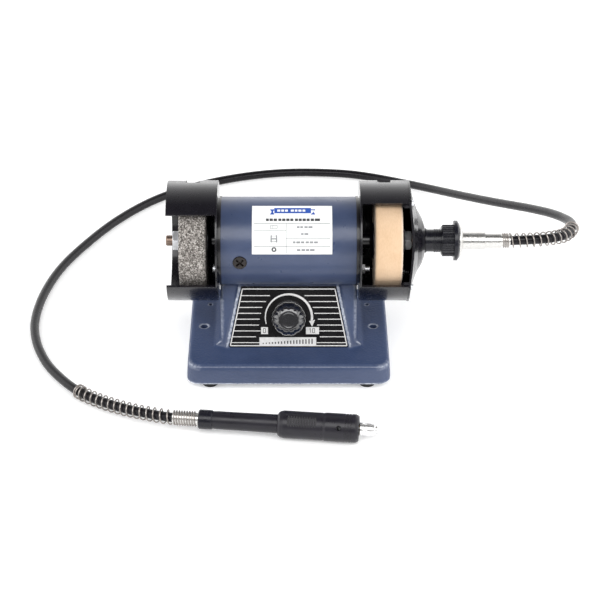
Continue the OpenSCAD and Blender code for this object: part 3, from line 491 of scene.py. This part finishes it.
class Print:
    """Collects thin flat shapes of one ink, and makes one piece of them."""

    def __init__(self, name, material, slot, place, low, high):
        self.name, self.material, self.slot = name, material, slot
        self.place, self.low, self.high = place, low, high
        self.points, self.faces = [], []

    def shape(self, outline):
        """Flat solid of a convex outline, counter-clockwise."""
        n, low = len(outline), len(self.points)
        high = low + n
        self.points += [self.place(u, v, w) for w in (self.low, self.high) for u, v in outline]
        self.faces += [tuple(high + k for k in range(n)), tuple(low + k for k in reversed(range(n)))]
        self.faces += [(low + k, low + (k + 1) % n, high + (k + 1) % n, high + k) for k in range(n)]

    def bar(self, u0, v0, u1, v1):
        self.shape([(u0, v0), (u1, v0), (u1, v1), (u0, v1)])

    def stroke(self, path, width):
        """Line of constant or varying width through points."""
        widths = width if isinstance(width, list) else [width] * len(path)
        for (a, b), wa, wb in zip(zip(path, path[1:]), widths, widths[1:]):
            dx, dy = b[0] - a[0], b[1] - a[1]
            size = math.hypot(dx, dy)
            nx, ny = -dy / size / 2, dx / size / 2
            self.shape([(a[0] - nx * wa, a[1] - ny * wa), (b[0] - nx * wb, b[1] - ny * wb),
                        (b[0] + nx * wb, b[1] + ny * wb), (a[0] + nx * wa, a[1] + ny * wa)])

    def frame(self, u0, v0, u1, v1, t):
        self.bar(u0, v0, u1, v0 + t)
        self.bar(u0, v1 - t, u1, v1)
        self.bar(u0, v0 + t, u0 + t, v1 - t)
        self.bar(u1 - t, v0 + t, u1, v1 - t)

    def done(self):
        piece = mesh_object(self.name, self.points, self.faces, "grinder", self.material, smooth=False)


silver_ink = printed("silver_ink", (0.86, 0.85, 0.84), 0.36, 0.15)
dark_ink = printed("dark_ink", (0.05, 0.05, 0.055), 0.45)
blue_ink = printed("blue_ink", (0.020, 0.085, 0.42), 0.4)
grey_ink = printed("grey_ink", (0.27, 0.28, 0.29), 0.45)

KNOB_V = 22.0
ARC_R = 17.6
BORDER_FOOT, BORDER_FOOT_U = 0.5, 44.0
BORDER_TOP, BORDER_TOP_U = 43.6, 34.8
BORDER_TAPER = 0.2135
LINE_HALF = 0.3
LINE_FOOT, LINE_STEP = 2.8, 4.47
# Inner ends of the ruled lines to the left and right of the arc, from the lowest line up
LINE_ENDS = [(-22.1, 21.1), (-24.6, 23.6), (-21.2, 22.9), (-22.4, 21.4), (-21.8, 22.0),
             (-20.8, 19.2), (-19.9, 18.2), (-17.1, 15.1), (-14.2, 12.0)]

silver = Print("panel_silver_print", silver_ink, "zinc_steel", on_panel, PANEL_THICK, INK_TOP)
corners = [(-BORDER_FOOT_U, BORDER_FOOT), (BORDER_FOOT_U, BORDER_FOOT),
           (BORDER_TOP_U, BORDER_TOP), (-BORDER_TOP_U, BORDER_TOP)]
silver.stroke(corners + corners[:1], 0.8)
for k, (left, right) in enumerate(LINE_ENDS):
    v = LINE_FOOT + LINE_STEP * k
    edge = BORDER_FOOT_U - 0.1 - BORDER_TAPER * (v - BORDER_FOOT)
    silver.bar(-edge, v - LINE_HALF, left, v + LINE_HALF)
    silver.bar(right, v - LINE_HALF, edge, v + LINE_HALF)
arc = [math.radians(a) for a in range(196, -12, -4)]
silver.stroke([(ARC_R * math.cos(a), KNOB_V + ARC_R * math.sin(a)) for a in arc],
              [min(1.7, 0.7 + 0.03 * k) for k in range(len(arc))])
ARROW_TIP = 14.9
silver.shape([(ARC_R, ARROW_TIP), (ARC_R + 2.3, ARROW_TIP + 5.2), (ARC_R - 2.2, ARROW_TIP + 4.4)])
LOW_MARK, HIGH_MARK, RAMP_STRIP = (-20.8, 9.3, -15.6, 14.6), (13.0, 9.3, 22.9, 14.7), (-22.1, 0.9, 20.8, 6.9)
for field in (LOW_MARK, HIGH_MARK, RAMP_STRIP):
    silver.bar(*field)
silver.done()

ZERO = [(0, 0), (0, 4), (2, 4), (2, 0), (0, 0)]
ONE = [(0.3, 3.2), (1.2, 4), (1.2, 0)]
DIGIT_SIZE, DIGIT_FOOT = 0.8, 10.4
RAMP_LEFT, RAMP_STEP, RAMP_BARS = -19.6, 2.3, 17

marks = Print("panel_dark_print", dark_ink, "panel_black", on_panel, INK_TOP, INK_TOP + 0.05)
for digit, u in ((ZERO, -19.1), (ONE, 15.4), (ZERO, 18.0)):
    marks.stroke([(u + DIGIT_SIZE * x, DIGIT_FOOT + DIGIT_SIZE * y) for x, y in digit], 0.42)
for k in range(RAMP_BARS):
    u = RAMP_LEFT + RAMP_STEP * k
    marks.bar(u, 1.9, u + 0.9, 2.6 + 0.2 * k)
marks.done()

# ---- Speed knob ----


FLUTES = 12


def on_knob(r, a, h):
    """Point at radius r and angle a round the knob's axis, at height h above the panel."""
    return on_panel(r * math.cos(a), KNOB_V + r * math.sin(a), PANEL_THICK + h)


def knob_ring(r, h, flute):
    """One closed contour of the knob, with flutes of the given depth."""
    return [on_knob(r - flute * max(0.0, math.cos(FLUTES * a)) ** 0.8, a, h) for a in circle(16 * FLUTES)]


# Radius, height and flute depth, from the recess under the skirt over the side to the middle of the top
rings = [knob_ring(*row) for row in (
    (8.2, 4.0, 0), (8.2, 1.0, 0), (12.7, 1.0, 0), (13.15, 1.15, 0), (13.3, 1.6, 0), (13.3, 2.5, 0),
    (13.25, 3.0, 0.05), (13.2, 4.0, 0.18), (13.1, 6.0, 0.32), (12.9, 7.6, 0.42), (12.6, 9.0, 0.5),
    (12.2, 10.2, 0.58), (11.7, 11.2, 0.62), (11.1, 12.15, 0.64), (10.5, 12.9, 0.62), (9.8, 13.5, 0.55),
    (9.0, 14.0, 0.42), (8.2, 14.4, 0.25), (7.5, 14.65, 0.1), (6.9, 14.8, 0), (6.2, 14.85, 0),
    (5.6, 14.75, 0), (5.0, 14.6, 0), (3.5, 14.5, 0), (2.0, 14.45, 0), (0.4, 14.45, 0))]
knob = mesh_object("speed_knob_fluted", *rings_mesh(rings), "knob", MATERIALS["gloss_black"], angle=60)
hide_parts("speed_knob")

# ---- Rating label ----

LABEL_R = HOUSING_R + 0.25


def on_label(x, v, lift):
    """Point at X and at v along the label from the top of the housing to the front, in millimetres."""
    r = LABEL_R + lift
    a = v / LABEL_R
    return Vector((x, -r * math.sin(a), SPINDLE_H + r * math.cos(a))) * MM


class LabelPrint(Print):
    """Print on the curved label: v grows downwards, so outlines are turned over."""

    def shape(self, outline):
        super().shape(list(reversed(outline)))

    def bar(self, u0, v0, u1, v1):
        """Bar in strips that follow the curve."""
        count = max(1, math.ceil((v1 - v0) / 1.6))
        for k in range(count):
            a, b = v0 + (v1 - v0) * k / count, v0 + (v1 - v0) * (k + 1) / count
            self.shape([(u0, a), (u1, a), (u1, b), (u0, b)])


def label_print(name, ink, low=0.0, high=0.05):
    return LabelPrint(name, ink, "label_white", on_label, low, high)


def bars(sheet, v0, v1, spans):
    """Row of bars that stands for a line of text."""
    for u0, u1 in spans:
        sheet.bar(u0, v0, u1, v1)


BANNER_MIDDLE, BANNER_HALF = 2.9, 13.5
label_blue = label_print("label_blue_print", blue_ink)
label_blue.bar(BANNER_MIDDLE - BANNER_HALF, 8.2, BANNER_MIDDLE + BANNER_HALF, 13.4)
for side in (-1, 1):
    u = BANNER_MIDDLE + side * BANNER_HALF
    notch = (u + side * 1.9, 12.1)
    label_blue.shape([(u, 9.6), (u + side * 3.2, 9.6), notch, (u, 14.6)][::side])
    label_blue.shape([(u, 14.6), notch, (u + side * 3.2, 14.6)][::side])
label_blue.done()

label_pale = label_print("label_banner_bars", MATERIALS["label_white"], 0.05, 0.08)
bars(label_pale, 9.9, 11.9, [(-8.4, -6.2), (-5.4, -3.4), (-2.6, -0.6), (1.6, 3.8), (4.6, 6.4), (7.2, 9.4),
                             (10.2, 12.2)])
label_pale.done()

label_dark = label_print("label_dark_print", dark_ink)
bars(label_dark, 18.1, 20.2, [(-16.7, -14.6), (-14.0, -11.6), (-11.0, -8.6), (-7.6, -5.4), (-4.8, -2.4),
                              (-1.8, 0.6), (1.2, 3.4), (4.6, 6.8), (7.4, 9.6), (10.2, 12.6), (13.2, 15.4),
                              (16.2, 18.6), (19.2, 23.0)])
WHEEL_SIGN, WHEEL_SIGN_R = (-10.8, 41.6), 1.35
turn = [math.radians(20 * k) for k in range(19)]
label_dark.stroke([(WHEEL_SIGN[0] + WHEEL_SIGN_R * math.cos(a), WHEEL_SIGN[1] + WHEEL_SIGN_R * math.sin(a))
                   for a in turn], 1.1)
label_dark.done()
TABLE_LEFT, TABLE_MIDDLE, TABLE_RIGHT = -25.4, -1.9, 30.4
label_grey = label_print("label_grey_print", grey_ink, high=0.04)
label_grey.bar(TABLE_LEFT, 21.9, TABLE_RIGHT, 22.35)
label_grey.bar(TABLE_LEFT, 39.0, TABLE_RIGHT, 39.45)
label_grey.bar(TABLE_LEFT, 27.3, TABLE_MIDDLE, 27.7)
label_grey.bar(TABLE_MIDDLE, 33.2, TABLE_RIGHT, 33.6)
label_grey.bar(TABLE_MIDDLE - 0.1, 22.3, TABLE_MIDDLE + 0.3, 44.4)
# Signs beside the text: a box with a bar, and two posts with three cross bars
label_grey.frame(-13.6, 23.6, -8.2, 26.2, 0.4)
label_grey.bar(-11.8, 23.9, -11.4, 25.9)
for u in (-13.4, -9.4):
    label_grey.bar(u, 31.0, u + 1.1, 36.4)
for v0, v1 in ((31.4, 31.9), (33.2, 34.2), (35.5, 36.0)):
    label_grey.bar(-12.3, v0, -9.4, v1)
TEXT_HALF = 0.75
for v, spans in ((25.0, ((6.0, 8.0), (8.5, 10.5), (11.5, 14.0), (14.5, 17.5))),
                 (30.2, ((9.0, 11.0), (11.5, 14.5))),
                 (36.3, ((3.0, 5.0), (5.6, 8.4), (9.0, 11.4), (12.4, 14.8), (15.4, 18.0), (18.6, 21.4))),
                 (42.0, ((6.0, 8.6), (9.4, 12.0), (12.6, 15.0), (15.6, 19.0)))):
    bars(label_grey, v - TEXT_HALF, v + TEXT_HALF, spans)
label_grey.done()

# ---- Base casting ----


def softened(name, node, body, material, voxel, rounds):
    """Copy of a CAD node with rounded edges, as cast."""
    copy = bpy.data.objects.new(name, nodes[node].data.copy())
    scene.collection.objects.link(copy)
    remesh = copy.modifiers.new("remesh", "REMESH")
    remesh.mode = "VOXEL"
    remesh.voxel_size = voxel
    smooth = copy.modifiers.new("smooth", "SMOOTH")
    smooth.iterations = rounds
    smooth.factor = 0.5
    mesh = bpy.data.meshes.new_from_object(copy.evaluated_get(bpy.context.evaluated_depsgraph_get()))
    copy.modifiers.clear()
    copy.data = mesh
    mesh.shade_smooth()
    mesh.materials.clear()
    mesh.materials.append(material)
    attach(copy, body)
    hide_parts(node)
    return copy


def mark_edge_wear_and_highlight(mesh, flat, sharp, rounds=2):
    """Vertex attribute for the pale edge colour, partly rubbed paint and partly a painted highlight: from 0
    where the surface is flat or hollow to 1 on an outer edge.
    """
    count = len(mesh.vertices)
    place, normal = np.empty(count * 3), np.empty(count * 3)
    ends = np.empty(len(mesh.edges) * 2, dtype=np.int64)
    mesh.vertices.foreach_get("co", place)
    mesh.vertices.foreach_get("normal", normal)
    mesh.edges.foreach_get("vertices", ends)
    place, normal, ends = place.reshape(-1, 3), normal.reshape(-1, 3), ends.reshape(-1, 2)
    neighbours = np.maximum(np.bincount(ends.ravel(), minlength=count), 1)

    def mean_of_neighbours(values):
        total = np.zeros(count)
        for a, b in ((0, 1), (1, 0)):
            total += np.bincount(ends[:, a], weights=values[ends[:, b]], minlength=count)
        return total / neighbours

    centre = np.stack([mean_of_neighbours(place[:, axis]) for axis in range(3)], axis=1)
    bulge = ((place - centre) * normal).sum(axis=1)
    for _ in range(rounds):
        bulge = 0.5 * (bulge + mean_of_neighbours(bulge))
    wear_and_highlight = np.clip((bulge - flat) / (sharp - flat), 0, 1)
    mesh.attributes.new("wear_and_highlight", "FLOAT", "POINT").data.foreach_set("value", wear_and_highlight.astype(np.float32))


def tuck_seat(mesh, depth=0.0008, half_width=0.0499):
    """Moves the seat of the motor housing under the housing's surface, so that no gap shows."""
    surface, middle = HOUSING_R * MM, SPINDLE_H * MM
    seat = surface - depth
    for vertex in mesh.vertices:
        y, z = vertex.co.y, vertex.co.z - middle
        r = math.hypot(y, z)
        if abs(vertex.co.x) < half_width and surface - 0.0012 < r < surface + 0.0008:
            vertex.co.y, vertex.co.z = y * seat / r, middle + z * seat / r


cast = softened("base_casting_cast", "base_casting", "grinder", cast_blue, voxel=0.0009, rounds=3)
mark_edge_wear_and_highlight(cast.data, flat=0.00003, sharp=0.00008)
tuck_seat(cast.data)

# ---- Light and floor ----

scene.view_settings.view_transform = "Standard"

# Brightness of the studio from the rear horizon (0) over the top (0.5) to the horizon behind the camera (1)
SKY = [(0.0, 0.95), (0.12, 0.82), (0.19, 0.58), (0.32, 0.24), (0.44, 0.05), (0.61, 0.05), (0.68, 0.30),
       (0.78, 0.30), (0.84, 0.14), (1.0, 0.12)]
SIDE_WALLS = (1.1, 1.1, 1.1, 1)
SIDE_WALLS_FROM, SIDE_WALLS_TO = 0.50, 0.80

world = bpy.data.worlds.new("studio")
scene.world = world
world.use_nodes = True
tree = world.node_tree
background = tree.nodes["Background"]
direction = tree.nodes.new("ShaderNodeSeparateXYZ")
tree.links.new(tree.nodes.new("ShaderNodeTexCoord").outputs["Generated"], direction.inputs["Vector"])


def world_math(operation, value):
    node = tree.nodes.new("ShaderNodeMath")
    node.operation = operation
    tree.links.new(value, node.inputs[0])
    return node


sweep = world_math("ARCTAN2", direction.outputs["Z"])
tree.links.new(direction.outputs["Y"], sweep.inputs[1])
share = world_math("DIVIDE", sweep.outputs["Value"])
share.inputs[1].default_value = math.pi
sky = tree.nodes.new("ShaderNodeValToRGB")
tree.links.new(share.outputs["Value"], sky.inputs["Fac"])
while len(sky.color_ramp.elements) < len(SKY):
    sky.color_ramp.elements.new(0.5)
for element, (at, value) in zip(sky.color_ramp.elements, SKY):
    element.position = at
    element.color = (value, value, value, 1)
walls = tree.nodes.new("ShaderNodeMapRange")
walls.inputs["From Min"].default_value = SIDE_WALLS_FROM
walls.inputs["From Max"].default_value = SIDE_WALLS_TO
aside = world_math("ABSOLUTE", direction.outputs["X"])
tree.links.new(aside.outputs["Value"], walls.inputs["Value"])
blend = tree.nodes.new("ShaderNodeMix")
blend.data_type = "RGBA"
tree.links.new(walls.outputs["Result"], blend.inputs[0])
tree.links.new(sky.outputs["Color"], blend.inputs[6])
blend.inputs[7].default_value = SIDE_WALLS
tree.links.new(blend.outputs[2], background.inputs["Color"])
background.inputs["Strength"].default_value = 2.0

KEY_AT, KEY_TARGET = Vector((0, -0.95, 1.15)), Vector((0, 0, 0.07))
key = bpy.data.objects.new("key", bpy.data.lights.new("key", "AREA"))
key.data.shape = "RECTANGLE"
key.data.size, key.data.size_y = 1.9, 0.75
key.data.energy = 15
key.location = KEY_AT
key.rotation_euler = (KEY_TARGET - KEY_AT).to_track_quat("-Z", "Y").to_euler()
scene.collection.objects.link(key)

pale = Nodes("floor_pale")
pale.set(Base_Color=pale.grey(pale.noise(3, 2), [(0.3, 0.90), (0.7, 0.92)]), Roughness=0.8,
         Emission_Color=(1, 1, 1, 1), Emission_Strength=0.25)
FLOOR_HALF = 6
floor_corners = [(x * FLOOR_HALF, y * FLOOR_HALF, 0) for x, y in ((-1, -1), (1, -1), (1, 1), (-1, 1))]
floor_mesh = bpy.data.meshes.new("floor")
floor_mesh.from_pydata(floor_corners, [], [(0, 1, 2, 3)])
floor_mesh.materials.append(pale.material)
floor = bpy.data.objects.new("floor", floor_mesh)
scene.collection.objects.link(floor)
